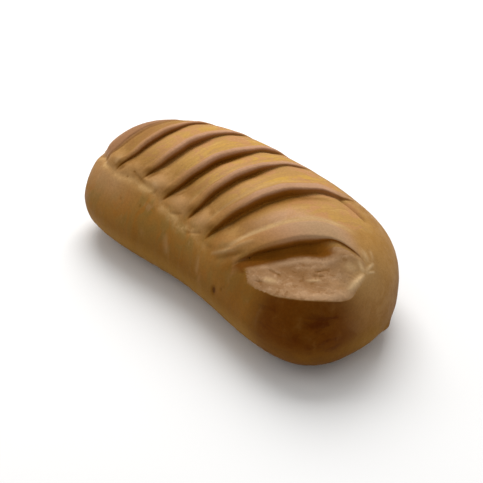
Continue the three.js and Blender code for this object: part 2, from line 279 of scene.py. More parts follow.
class LoafShape:
    """The loaf's surface in millimetres, over degrees along (a) and degrees round from the crown (b)."""

    def __init__(self, body, slashes):
        for name in ("length", "width", "height", "belly_level", "waist_reach", "bend", "lean"):
            setattr(self, name, getattr(body, name) / MM)
        self.body = body
        self.slashes = slashes
        self.per_degree = self.length / 2 * math.radians(1)

    def skin(self, a, b):
        """Point on the plain skin, before any slash."""
        body = self.body
        t = np.sin(np.radians(a))
        waist = 1 - body.waist * bell(t * self.length / 2 / self.waist_reach)
        half = self.width / 2 * fall(t, body.plan_power) * waist
        end_rise = np.where(t > 0, fall(t, body.rise_power_near), fall(t, body.rise_power_far))
        c, s = np.cos(np.radians(b)), np.sin(np.radians(b))
        power = np.where(c >= 0, body.crown_power, body.belly_power)
        reach = np.where(c >= 0, self.height - self.belly_level, self.belly_level * body.belly_drop)
        z = np.maximum(0.0, self.belly_level + reach * end_rise * signed_power(c, 2 / power))
        swell = bell((t * self.length / 2 - SHOULDER_AT) / SHOULDER_REACH) * ease(s / 0.6)
        full = 1 + body.shoulder * swell
        y = half * full * signed_power(s, 2 / power)
        lean = self.lean * np.maximum(0.0, z - self.belly_level) / self.height
        return np.stack([t * self.length / 2, y + self.bend * t * t + lean, z], -1)

    def base_angle(self, a):
        """Degrees round at which the section meets the base plane."""
        body = self.body
        t = math.sin(math.radians(a))
        power = body.rise_power_near if t > 0 else body.rise_power_far
        reach = body.belly_drop * float(fall(t, power))
        if reach <= 1:
            return FLAT_LIMIT
        return min(FLAT_LIMIT, 180 - math.degrees(math.acos((1 / reach) ** (body.belly_power / 2))))

    def surface_frame(self, a, b, da, db):
        """Outward normal, and the tangent towards the near end square to the direction (da, db)."""
        step = 0.01
        along = self.skin(a + step, b) - self.skin(a - step, b)
        around = self.skin(a, b + step) - self.skin(a, b - step)
        normal = -np.cross(around, along)
        normal /= np.linalg.norm(normal, axis=-1, keepdims=True) + 1e-12
        line = self.skin(a + da * step, b + db * step) - self.skin(a - da * step, b - db * step)
        across = np.cross(line, normal)
        across /= np.linalg.norm(across, axis=-1, keepdims=True) + 1e-12
        across *= np.sign(np.sum(across * along, -1, keepdims=True) + 1e-12)
        return normal, across

    def lip(self, k, s):
        """Degrees along at which slash k has its lip."""
        cut = self.slashes[k]
        if k == LAST:
            reach = np.minimum(s, LENS_HOOK_START + LENS_HOOK_SPAN)
            turn = np.clip((s - LENS_HOOK_START) / LENS_HOOK_SPAN, 0.0, 1.0) ** LENS_HOOK_POWER
        else:
            reach, turn = s, rise(s, HOOK_START, HOOK_SPAN)
        wobble = sum(size * np.sin(waves * s + shift * k) for size, waves, shift in LIP_WOBBLES)
        settle = 0.0 if k == LAST else LIP_SETTLE * rise(s, -0.2, 0.4)
        line = cut.at + cut.slant * reach + cut.bow * s * s + cut.hook * turn + settle
        return line - cut.curl * drop(s, -0.5, 0.3) + wobble

    def floor(self, k, s):
        """Degrees along at which the torn floor of slash k ends."""
        lip = self.lip(k, s)
        if k < LAST:
            return mix(lip, self.lip(k + 1, s), self.slashes[k].floor)
        cut = self.slashes[k]
        u = np.clip((s - cut.start) / (cut.stop - cut.start), 0.0, 1.0)
        return lip + np.maximum(5.0, LENS_SPREAD * u ** LENS_POWERS[0] * (1 - u) ** LENS_POWERS[1])

    def guide(self, s):
        """Degrees along of the mesh line that follows the near edge of the last slash."""
        return np.maximum(self.floor(LAST, s), self.lip(LAST, s) + mix(20.0, 6.0, rise(s, -0.6, 0.5)))

    def groove(self, s):
        """Share of the last slash that stays a brown groove where its visible end narrows."""
        return 0.13 + 0.87 * np.clip((-0.8 - s) / 0.115, 0.0, 1.0) ** 3

    def wall_share(self, s):
        """Share of the last slash that its dark wall takes up."""
        return LENS_WALL + 0.05 * drop(s, -0.65, 0.15) + 0.11 * rise(s, -0.55, 0.3)

    def presence(self, k, s, b):
        """1 along the body of slash k, 0 past its ends."""
        cut = self.slashes[k]
        opening = np.clip((s - cut.start) / cut.wake, 0.0, 1.0)
        opening = ease(opening) if k == LAST else opening * (2 - opening)
        closing = drop(s, cut.stop, 0.3 if k == LAST else 0.34)
        return np.where(np.abs(b) > 89, 0.0, opening * closing)

    def taper(self, k, s):
        """How much of its depth slash k keeps towards the hidden side."""
        if k == LAST:
            return 1 - 0.84 * rise(s, -0.36, 0.3)
        return 1 - self.slashes[k].fade * rise(s, -0.2, 0.55)

    def shaded(self, k, s, over=1.0):
        """How much painted shade the wall and floor of slash k keep towards the hidden side."""
        return 1 - over * self.slashes[k].fade * rise(s, -0.1, 0.5)

    def ashen(self, k, s):
        """How greyish, with painted sheen, the skin strip before slash k is."""
        return self.slashes[k - 1].ash * rise(s, -0.62, 0.45) if k else 0.0 * s

    def room(self, k, s):
        """Degrees before and after lip k that its rolled section may take up."""
        wish = 1.2 * self.slashes[k].roll / self.per_degree
        back = np.full_like(s, wish)
        if k > 0:
            back = np.minimum(wish, 0.62 * (self.lip(k, s) - self.floor(k - 1, s)))
        return back, np.minimum(wish, 0.3 * (self.floor(k, s) - self.lip(k, s)))

    def rim(self, a):
        """How far across, as s, the pale rim lies on the visible side."""
        ends = 0.07 * drop(a, -48, 14) + 0.12 * rise(a, 12, 12)
        return ends - mix(0.78, 0.92, rise(a, -38, 58))

    def rim_sway(self, a):
        """Irregular wander of the rim, as s."""
        return sum(size * np.sin(waves * a + shift) for size, waves, shift in RIM_SWAYS)

    def shadowed(self, s):
        """Where the last slash has a dark wall of painted shade, from 1 on the visible side to 0 near
        its hidden end.
        """
        return 1 - rise(s, -0.23, 0.12)

    def rim_zone(self, a):
        return rise(a, -72, 14) * drop(a, 27, 6)

    def crease(self, a, b, ends, width):
        """1 on the line between two points of the skin, fading to 0 over the width."""
        here = self.skin(a, b)
        start, end = (self.skin(np.float64(p), np.degrees(np.arcsin(q))) for p, q in ends)
        line = end - start
        along = np.clip((here - start) @ line / (line @ line), 0.0, 1.0)
        away = np.linalg.norm(here - (start + along[..., None] * line), axis=-1)
        return np.sin(np.pi * mix(0.15, 1.0, 1 - along)) ** 0.5 * bell(away / width)

    def spot(self, a, b, along, around, size):
        """1 at a point of the skin, fading to 0 over the sizes along and round, in millimetres."""
        here, at = self.skin(a, b), self.skin(np.float64(along), np.float64(around))
        normal, lengthwise = self.surface_frame(np.float64(along), np.float64(around), 0.0, 1.0)
        upright = np.cross(normal, lengthwise)
        offset = here - at
        far = np.linalg.norm(offset, axis=-1) > 4 * max(size)
        return np.where(far, 0.0, bell(offset @ lengthwise / size[0]) * bell(offset @ upright / size[1]))

    def relief(self, a, b):
        """Height over the plain skin, with the masks of what lies there."""
        s = np.sin(np.radians(b))
        top = np.cos(np.radians(b)) > 0
        height, dome = np.zeros_like(a), np.zeros_like(a)
        masks = {name: np.zeros_like(a) for name in PLAIN_MASKS}
        masks["grain"] = np.zeros(a.shape + (3,))
        for k in range(len(self.slashes)):
            lip, live = self.lip(k, s), self.presence(k, s, b) * top
            ahead = self.lip(k + 1, s) if k < LAST else lip + END_STRIP
            share = np.clip((a - lip) / (ahead - lip), 0.0, 1.0)
            dome = np.where((a > lip) & (a < ahead) & top, np.sin(np.pi * share) ** 0.6, dome)
            height -= self.floor_depth(k, a, b, live, masks)
            height += self.strip_height(k, a, s, live, top, masks)
        height += self.rim_height(a, s, self.rim_zone(a) * top, dome, masks)
        for begin, end, width, depth, tone in CREASES:
            line = self.crease(a, b, (begin, end), width) * top
            height -= depth * line
            # A dark crease tone is painted shade in the crease.
            raise_masks(masks, pale=tone * line, dark=-tone * line)
        tip_round = math.degrees(math.asin(LENS_TIP[1]))
        masks["tip"] = self.spot(a, b, LENS_TIP[0], tip_round, LENS_TIP_SIZE) * top
        height += NUB["height"] * self.spot(a, b, NUB["along"], NUB["round"], (NUB["radius"],) * 2)
        return height, masks

    def floor_depth(self, k, a, b, live, masks):
        """Depth of the torn floor of slash k, and its share of the masks."""
        cut, body = self.slashes[k], self.body
        s, top = np.sin(np.radians(b)), np.cos(np.radians(b)) > 0
        lip, floor = self.lip(k, s), self.floor(k, s)
        over = self.lip(k + 1, s) if k < LAST else floor
        u = np.clip((a - lip) / (floor - lip), 0.0, 1.0)
        inside = (a >= lip) & (a <= floor + 1e-6) & top
        to_next = (a >= lip) & (a <= over)
        depth = cut.depth * self.taper(k, s)
        if k == LAST:
            shown = rise(s, cut.start, 0.045) * drop(s, cut.stop, 0.05)
            fill = self.lens_depth(u, s, depth)
        else:
            kept = (a - floor) / np.maximum(over - floor, 0.1) + (0.5 if k == LAST - 1 else 0.0)
            shown = rise(s, cut.start + 0.02, 0.3) * ease(live * 1.3) * (1 - rise(kept, 0.2, 0.25))
            fill = depth * (1 - u) ** body.floor_power + body.step_down / MM * u * u
            edge = cut.ash * live * bell((u - 0.96) / 0.08) * (1 - rise(s, 0.02, 0.3)) * inside
            raise_masks(masks, edge=edge)
        shown = np.where(to_next & top, shown, 0.0)
        raise_masks(masks, torn=shown)
        if k == LAST:
            self.lens_masks(u, s, live, shown, inside, masks)
        elif k > 0:
            # Painted shade in the corner where the floor begins beside the start of the wall.
            corner = bell((s - cut.start - 0.075) / 0.045) * bell((a - lip) / 4.0) * top
            raise_masks(masks, corner=corner)
        # Painted shade on the floor, deepest at the foot of the wall under the lip.
        shade = cut.shade * live * (1 - u) * self.shaded(k, s)
        raise_masks(masks, depth=np.where(inside, shade, 0.0))
        chalk = cut.ash * live * (1 - rise(s, -0.3, 0.3)) * rise(u, 0.3, 0.4)
        masks["chalk"] = np.where(to_next & top, chalk, masks["chalk"])
        masks["gold"] = np.where(to_next, cut.gold * rise(u, 0.15, 0.6), masks["gold"])
        flow = ((a - lip) * self.per_degree, b * GRAIN_ROUND, np.full_like(a, GRAIN_STEP * k))
        masks["grain"] = np.where(inside[..., None], np.stack(flow, -1), masks["grain"])
        return np.where(inside, live * fill, 0.0)

    def lens_depth(self, u, s, depth):
        """Depth of the last floor: its wall, its flattened middle and its raised edges."""
        wall = self.wall_share(s)
        foot = np.clip((u - wall) / (1 - wall), 0.0, 1.0)
        slope = mix(1.0, 0.78, ease(u / wall)) * depth * (1 - foot)
        ledge = bell((u - wall - 0.05) / 0.03) * self.shadowed(s)
        edges = self.body.lens_edge * (ledge + bell((u - 0.9) / 0.07))
        return slope + (self.body.lens_flat * np.sin(np.pi * foot) - edges) / MM

    def lens_masks(self, u, s, live, shown, inside, masks):
        """Masks that the last floor alone has."""
        wall, groove = self.wall_share(s), self.groove(s)
        masks["shallow"] = np.where(inside, 1 - ease(live / 0.8), 0.0)
        masks["torn"] = np.where(inside, shown * rise(u, groove - 0.04, 0.05), masks["torn"])
        masks["lens"] = masks["torn"] * inside
        wall_end = rise(u, np.maximum(0.75 * wall, np.minimum(groove - 0.1, 0.3)), 0.06)
        # Painted shade on the dark wall of the last slash.
        dark = np.minimum(1.0, 12 * live) * (1 - wall_end) * self.shadowed(s)
        masks["wall"] = np.where(inside, dark, 0.0)
        brim = bell((u - wall - 0.05) / 0.035) * self.shadowed(s) + bell((u - 0.92) / 0.06)
        brim = np.minimum(1.0, brim) * live * (1 - 0.5 * drop(s, -0.6, 0.2))
        masks["brim"] = np.where(inside, brim, 0.0)
        pale = np.maximum(0.3 * rise(u, 0.7, 0.25), 0.3 * drop(s, -0.62, 0.2))
        masks["foot"] = np.where(inside, np.maximum(pale, rise(s, -0.5, 0.25)), 0.0)

    def strip_height(self, k, a, s, live, top, masks):
        """Doming of the skin strip before slash k, and its share of the masks."""
        lip = self.lip(k, s)
        before = self.floor(k - 1, s) if k else lip - END_STRIP
        within = np.clip((a - before) / (lip - before), 0.0, 1.0)
        on_strip = (a > before) & (a < lip) & top
        raise_masks(masks, strip=np.where(on_strip, live, 0.0))
        # The strip's greyish colour is a painted sheen.
        masks["ash"] = np.where(on_strip, self.ashen(k, s), masks["ash"])
        if k == 0:
            masks["valley"] = np.where(on_strip, ease(within * 2) * ease(live * 2), 0.0)
        return np.where(on_strip, live * self.body.strip_crown / MM * np.sin(np.pi * within), 0.0)

    def rim_height(self, a, s, zone, dome, masks):
        """Swollen ridge ends, the crease under them and its lower edge, with their masks."""
        rim, depth = self.rim(a) + self.rim_sway(a), self.body.rim_depth / MM
        toe = zone * bell((s - rim - 0.085) / 0.065) * dome
        masks["toe"] = toe * mix(0.3, 1.0, rise(a, -34, 8) * drop(a, 9, 8))
        masks["rim"] = zone * bell((s - rim + 0.016) / 0.028) * mix(1.0, 0.1, rise(a, -6, 20))
        crease = bell((s - rim) / 0.024) - 0.6 * bell((s - rim + 0.05) / 0.035)
        return self.body.knuckle / MM * toe - depth * zone * crease

    def lip_section(self, k, s, back, count):
        """The rolled lip as (across, height, wall) at count steps, each an array over the rows."""
        cut, taper = self.slashes[k], self.taper(k, s)
        roll, depth = cut.roll * taper, cut.depth * taper
        tuck = mix(self.body.tuck, -1.0, cut.soft) * roll
        crest = mix(roll, 0.3 * depth, cut.soft)
        short = np.minimum(roll, back)
        zero = np.zeros_like(back)
        knots = np.array(
            [
                (-1.7 * short, zero + 0.3),
                (-short, zero + 0.2),
                (-0.35 * short, zero - 0.22 * crest),
                (zero, zero - crest),
                (zero - 0.45 * tuck, zero - mix(crest, depth, 0.5)),
                (zero - tuck, zero - depth),
                (zero + 0.8 * roll, zero - 0.9 * depth),
            ]
        )
        section = []
        for step in np.linspace(1.0, 5.0, count):
            i = min(int(step), 4)
            across, height = curve_through(knots[i - 1 : i + 3], step - i)
            section.append((across, height, (step - 1.0) / 4.0))
        return section


def curve_through(points, t):
    """Smooth curve through four points, at share t of the way from the second to the third."""
    p0, p1, p2, p3 = points
    bend = 2 * p0 - 5 * p1 + 4 * p2 - p3
    twist = 3 * p1 - p0 - 3 * p2 + p3
    return 0.5 * (2 * p1 + (p2 - p0) * t + bend * t * t + twist * t**3)


def line_at(line, b):
    """Follows a line over the crown, then fades its slant out under the belly."""
    over = line(np.sin(np.radians(np.clip(b, -90, 90))))
    under = mix(over, line(np.zeros_like(b)), (np.abs(b) - 90) / 90)
    return np.where(np.abs(b) <= 90, over, under)


def loaf_rows(shape, line, body):
    """Degrees round of each row at one column. The rows follow the rim on the visible side."""
    rim = RIM_GUESS
    for _ in range(RIM_ROUNDS):
        rim = -math.degrees(math.asin(float(shape.rim(line_at(line, np.float64(-rim))))))
    shown = (body.rows_to_rim, body.rows_to_belly, body.rows_to_base)
    hidden = tuple(round(count * body.rows_hidden) for count in shown)
    rows = []
    for side, edge, counts in ((-1, rim, shown), (1, RIM_EDGE, hidden)):
        foot = shape.base_angle(float(line_at(line, np.float64(side * FLAT_LIMIT))))
        stops = (0, edge, 90, foot, 180)
        spans = zip(stops, stops[1:], (*counts, body.rows_on_base))
        rows.append(side * np.concatenate([np.linspace(*span, endpoint=False) for span in spans]))
    return np.concatenate([rows[0][::-1], rows[1][1:], [180.0]])


def loaf_columns(shape, body):
    """Mesh columns from the far end to the near end, as (line, slash), with no slash off the lips."""
    columns = []

    def before(k):
        return lambda s: shape.lip(k, s) - 1.3 * shape.room(k, s)[0]

    def after(k):
        return lambda s: shape.lip(k, s) + 1.1 * shape.room(k, s)[1]

    def spread(start, end, shares):
        for share in shares:
            columns.append((lambda s, q=share: mix(start(s), end(s), q), None))

    quarter = np.pi / 2
    cap = 1 - np.cos(np.linspace(0, quarter, body.columns_cap_far + 1))[1:]
    spread(lambda s: np.full_like(s, -90.0), before(0), cap)
    for k in range(len(shape.slashes)):
        lip, floor = functools.partial(shape.lip, k), functools.partial(shape.floor, k)
        columns += [(lip, k)] * body.columns_lip
        if k < LAST:
            spread(after(k), floor, np.linspace(0, 1, body.columns_floor))
            spread(floor, before(k + 1), np.linspace(0, 1, body.columns_strip + 1)[1:])
    spread(after(LAST), shape.guide, np.linspace(0, 1, body.columns_lens + 2)[:-1])
    cap = np.sin(np.linspace(0, quarter, body.columns_cap_near + 1))[:-1]
    spread(shape.guide, lambda s: np.full_like(s, 90.0), cap)
    return columns


def loaf_surface(shape, body):
    """Points and masks of the whole skin, as columns along the loaf by rows round it."""
    columns = loaf_columns(shape, body)
    rows = np.array([loaf_rows(shape, line, body) for line, _ in columns])
    along = np.array([line_at(line, b) for (line, _), b in zip(columns, rows)])
    height, masks = shape.relief(along, rows)
    normal, _ = shape.surface_frame(along, rows, 1.0, 0.0)
    points = shape.skin(along, rows) + normal * height[..., None]
    for k in range(len(shape.slashes)):
        group = [i for i, (_, slash) in enumerate(columns) if slash == k]
        roll_lip(shape, k, group, rows[group[0]], points, masks, along)
    masks["sole"] = drop(points[..., 2], 6.0, 5.0)
    return points, masks, along, rows


def roll_lip(shape, k, group, b, points, masks, along):
    """Lays columns over the rolled lip of slash k. wall runs from 0 on the skin to 1 on the floor."""
    s, cut = np.sin(np.radians(b)), shape.slashes[k]
    live = np.where(np.abs(b) < 90, shape.presence(k, s, b), 0.0)
    lip = along[group[0]].copy()
    back, ahead = (line_at(lambda v, side=side: shape.room(k, v)[side], b) for side in (0, 1))
    squeeze = shape.per_degree * np.cos(np.radians(lip)) * (0.8 if k == LAST else 0.95)
    section = shape.lip_section(k, s, 0.8 * back * squeeze, len(group))
    step = 0.5
    line = functools.partial(shape.lip, k)
    slope = line_at(line, b + step) - line_at(line, b - step)
    under, _ = shape.relief(lip - 0.3, b)
    open_cut = ease(live * 3)
    lit = 1 - rise(s, 0.02, 0.18) if k == LAST else shape.shaded(k, s, 1.1)
    for (x, h, wall), i in zip(section, group):
        place = (wall - 0.5) * 1.6
        a = lip + (1 - live) * place * np.where(place < 0, back, ahead)
        along[i] = a
        normal, across = shape.surface_frame(a, b, slope, 2 * step)
        rest, rest_masks = shape.relief(a, b)
        lift = np.where(live > 0, live * h + under * (1 - live), rest)
        points[i] = shape.skin(a, b) + across * (live * x)[:, None] + normal * lift[:, None]
        torn = open_cut * rise(wall, 0.5, 0.25)
        # The wall and depth masks paint shade under the lip, and the ash mask a sheen on the strip
        # before it.
        rest_masks.update(
            torn=torn,
            wall=open_cut * rise(wall, 0.38, 0.3) * lit * cut.shade,
            lens=torn if k == LAST else 0.0,
            strip=np.maximum(rest_masks["strip"], live * (1 - rise(wall, 0.5, 0.22))),
            gold=0.0,
            shallow=1 - ease(live / 0.8) if k == LAST else 0.0,
            valley=open_cut * (1 - rise(wall, 0.3, 0.7)) if k == 0 else 0.0,
            ash=shape.ashen(k, s),
            depth=live * wall * shape.shaded(k, s) * cut.shade,
            grain=np.stack([x + 0 * b, b * GRAIN_ROUND, np.full_like(b, GRAIN_STEP * k)], -1),
        )
        for name, values in rest_masks.items():
            masks[name][i] = values


def loaf_tints(shape, masks, along, rows, points):
    """Masks of the broad and local colour changes of the crust, mostly by place in millimetres, with
    painted shade, sheen and light among them.
    """
    x, y, z = points[..., 0], points[..., 1], points[..., 2]
    s = np.sin(np.radians(rows))
    masks["flank"] = drop(s, -0.62, 0.3) * drop(z, 86, 20)
    far_up = drop(x, -50, 40) * rise(z, 26, 20)
    near_up = rise(x, 128, 16) * rise(z, 20, 20)
    # Darker towards the base and over the near half of the side: browner crust with painted shade, less
    # at the ends' upper parts, and painted shade in the hollow under the widest ridge end.
    low = drop(z, 68, 43) * (1 - 0.35 * far_up - 0.5 * near_up)
    low = np.maximum(low, 0.75 * rise(x, 5, 60) * masks["flank"])
    masks["low"] = np.maximum(low, spot_at(shape, along, rows, UNDER_LOBE))
    # Painted sheen on the upper far side.
    masks["far"] = drop(x, -48, 48) * rise(z, 42, 26)
    # The near end: its darker crust with painted shade where it turns from the light, fading towards the
    # hidden side.
    baked = rise(x, 82, 26) * drop(z, 90, 12) * (1 - 0.92 * rise(y, -44, 44))
    masks["baked"] = baked * (1 - masks["lens"]) * (1 - 0.9 * masks["tip"])
    masks["brown"] = np.maximum(drop(s, -0.22, 0.55), 0.8 * drop(x, -84, 26))
    # Painted light on the upper near shoulder of the hidden side.
    masks["lit_shoulder"] = rise(x, 70, 50) * rise(y, -14, 40) * rise(z, 42, 26)
    # Painted bounce light just over the base on the visible side, less on the dark near end.
    masks["lit_sill"] = drop(z, 39, 16) * (1 - 0.6 * masks["baked"]) * (1 - 0.8 * rise(y, -10, 40))
    masks["pit"] = np.zeros_like(x)
    for mark in MARKS:
        raise_masks(masks, pit=np.minimum(1.0, spot_at(shape, along, rows, mark)))


def loaf_mesh(name, points, masks, shape):
    """One closed mesh in metres, with a point at each end and the masks as attributes."""
    columns, rows = points.shape[:2]
    tips = np.array([shape.skin(np.float64(a), np.float64(0.0)) for a in (-90.0, 90.0)])
    verts = np.concatenate([points.reshape(-1, 3), tips])
    i, j = np.meshgrid(np.arange(columns - 1), np.arange(rows), indexing="ij")
    beside = (j + 1) % rows
    quads = np.stack([i * rows + j, (i + 1) * rows + j, (i + 1) * rows + beside, i * rows + beside], -1)
    ring = np.arange(rows)
    turn = (ring + 1) % rows
    last, pole = (columns - 1) * rows, columns * rows
    far_fan = np.stack([np.full(rows, pole), ring, turn], -1)
    near_fan = np.stack([np.full(rows, pole + 1), last + turn, last + ring], -1)
    faces = [face for part in (quads.reshape(-1, 4), far_fan, near_fan) for face in part.tolist()]
    mesh = bpy.data.meshes.new(name)
    mesh.from_pydata(verts * MM, [], faces)
    for mask, values in masks.items():
        if values.ndim == 3:
            layer = mesh.attributes.new(mask, "FLOAT_VECTOR", "POINT")
            flat = np.concatenate([values.reshape(-1, 3), np.zeros((2, 3))])
            layer.data.foreach_set("vector", (flat * MM).astype(np.float32).ravel())
        else:
            layer = mesh.attributes.new(mask, "FLOAT", "POINT")
            ends = [values[0].mean(), values[-1].mean()]
            layer.data.foreach_set("value", np.concatenate([values.ravel(), ends]).astype(np.float32))
    mesh.polygons.foreach_set("use_smooth", [True] * len(mesh.polygons))
    mesh.update()
    return mesh


class NodeMaker:
    """Adds nodes to a tree and wires them from plain values or other sockets."""

    def __init__(self, tree):
        self.tree = tree

    def add(self, kind, inputs=(), out=0, **settings):
        node = self.tree.nodes.new(kind)
        for key, value in settings.items():
            setattr(node, key, value)
        pairs = inputs.items() if isinstance(inputs, dict) else enumerate(inputs)
        for key, value in pairs:
            if isinstance(value, bpy.types.NodeSocket):
                self.tree.links.new(value, node.inputs[key])
            else:
                node.inputs[key].default_value = value
        return node.outputs[out]

    def math(self, operation, *values, clamp=False):
        return self.add("ShaderNodeMath", values, operation=operation, use_clamp=clamp)

    def product(self, *values):
        return functools.reduce(functools.partial(self.math, "MULTIPLY"), values)

    def total(self, *values):
        return functools.reduce(functools.partial(self.math, "ADD"), values)

    def rest(self, value):
        return self.math("SUBTRACT", 1.0, value)

    def scaled(self, vector, scale):
        return self.add("ShaderNodeVectorMath", {0: vector, "Scale": scale}, operation="SCALE")

    def ramp(self, value, low, high, out_low=0.0, out_high=1.0):
        """Smooth way from out_low to out_high while the value goes from low to high."""
        kind = "ShaderNodeMapRange"
        return self.add(kind, (value, low, high, out_low, out_high), interpolation_type="SMOOTHSTEP")

    def noise(self, vector, scale, detail=2.0, roughness=0.5, distortion=0.0):
        """Noise at one scale, or at one scale for each axis."""
        if isinstance(scale, tuple):
            vector = self.add("ShaderNodeVectorMath", (vector, scale), operation="MULTIPLY")
            scale = 1.0
        values = {"Scale": scale, "Detail": detail, "Roughness": roughness, "Distortion": distortion}
        return self.add("ShaderNodeTexNoise", {"Vector": vector, **values})

    def paint(self, base, *layers):
        """Lays colours over a base, each as far as the product of its shares says."""
        for over, *shares in layers:
            values = {0: self.product(*shares)}
            for key, value in ((6, base), (7, over)):
                values[key] = value if isinstance(value, bpy.types.NodeSocket) else (*value, 1.0)
            base = self.add("ShaderNodeMix", values, out=2, data_type="RGBA")
        return base


def flake_noise(make, place):
    """Patches drawn out along the widest floor, as its torn flakes lie."""
    values = {"Vector": place, "Angle": LENS_TURN}
    return make.noise(make.add("ShaderNodeVectorRotate", values, rotation_type="Z_AXIS"), *FLAKE_NOISE)


def crust_relief_tree():
    """Geometry nodes that raise the crust's lumps, wrinkles, torn strands, blisters and pores."""
    tree = bpy.data.node_groups.new("Crust Relief", "GeometryNodeTree")
    tree.is_modifier = True
    face = tree.interface
    face.new_socket("Geometry", in_out="OUTPUT", socket_type="NodeSocketGeometry")
    face.new_socket("Geometry", in_out="INPUT", socket_type="NodeSocketGeometry")
    for name in (*RELIEF_HEIGHTS, *RELIEF_SPOTS):
        socket = face.new_socket(name, in_out="INPUT", socket_type="NodeSocketFloat")
        socket.default_value = RELIEF_SPOTS.get(name, 0.0)
    face.new_socket("Seed", in_out="INPUT", socket_type="NodeSocketInt").default_value = SEED
    face.new_socket("Crust", in_out="INPUT", socket_type="NodeSocketMaterial")

    make = NodeMaker(tree)
    entry = tree.nodes.new("NodeGroupInput").outputs
    shape = entry["Geometry"]
    place = make.add("GeometryNodeInputPosition")
    normal = make.add("GeometryNodeInputNormal")

    def mask(name, kind="FLOAT"):
        return make.add("GeometryNodeInputNamedAttribute", {"Name": name}, data_type=kind)

    def uneven(vector, *noise):
        return make.math("SUBTRACT", make.noise(vector, *noise), 0.5)

    torn, lens, grain = mask("torn"), mask("lens"), mask("grain", "FLOAT_VECTOR")
    skin = make.rest(torn)
    lumps = make.product(uneven(place, 21.0, 1.5), entry["Lump Height"])
    wrinkles = make.product(uneven(place, 230.0, 3.0, 0.6), entry["Wrinkle Height"], 2.0)
    folds = make.product(uneven(place, *FOLD_NOISE), entry["Fold Height"], mask("flank"))
    strands = make.product(uneven(grain, *STRAND_NOISE), torn, entry["Strand Height"])
    strands = make.product(strands, make.math("MULTIPLY_ADD", lens, -1.4, 2.0))
    flakes = make.ramp(flake_noise(make, place), 0.5, 0.62)
    flakes = make.product(flakes, lens, entry["Flake Height"])

    def scattered(name, seed_step, where):
        """1 at random points of a surface, fading to 0 over their radius."""
        values = {
            "Mesh": shape,
            "Density": make.product(entry[name + " Density"], where),
            "Seed": make.math("ADD", entry["Seed"], seed_step),
        }
        points = make.add("GeometryNodeDistributePointsOnFaces", values, distribute_method="RANDOM")
        away = make.add("GeometryNodeProximity", {0: points}, out=1, target_element="POINTS")
        return make.ramp(make.math("DIVIDE", away, entry[name + " Radius"]), 0.0, 1.0, 1.0, 0.0)

    blisters = make.product(scattered("Blister", 1.0, skin), entry["Blister Height"], skin)
    pores = scattered("Pore", 2.0, torn)
    pores = make.product(pores, make.math("SUBTRACT", torn, mask("wall"), clamp=True))
    pits = make.math("MAXIMUM", pores, make.product(mask("pit"), 1.2))
    pits = make.product(pits, entry["Pore Depth"])

    lift = make.total(lumps, folds, wrinkles, make.total(strands, flakes, blisters))
    lift = make.product(make.math("SUBTRACT", lift, pits), make.rest(mask("sole")))
    values = {"Geometry": shape, "Offset": make.scaled(normal, lift)}
    moved = make.add("GeometryNodeSetPosition", values)
    values = {"Geometry": moved, "Name": "pore", "Value": pores}
    stored = make.add("GeometryNodeStoreNamedAttribute", values, data_type="FLOAT", domain="POINT")
    real = make.add("GeometryNodeRealizeInstances", [stored])
    done = make.add("GeometryNodeSetMaterial", {"Geometry": real, "Material": entry["Crust"]})
    tree.links.new(done, tree.nodes.new("NodeGroupOutput").inputs["Geometry"])
    return tree


def apply_tree(obj, tree, values):
    """Runs a geometry node tree on an object and keeps the result as its plain mesh."""
    modifier = obj.modifiers.new(tree.name, "NODES")
    modifier.node_group = tree
    for item in tree.interface.items_tree:
        if item.in_out == "INPUT" and item.name in values:
            modifier[item.identifier] = values[item.name]
    graph = bpy.context.evaluated_depsgraph_get()
    result = bpy.data.meshes.new_from_object(obj.evaluated_get(graph), depsgraph=graph)
    obj.modifiers.remove(modifier)
    before = obj.data
    obj.data = result
    bpy.data.meshes.remove(before)
    result.name = obj.name


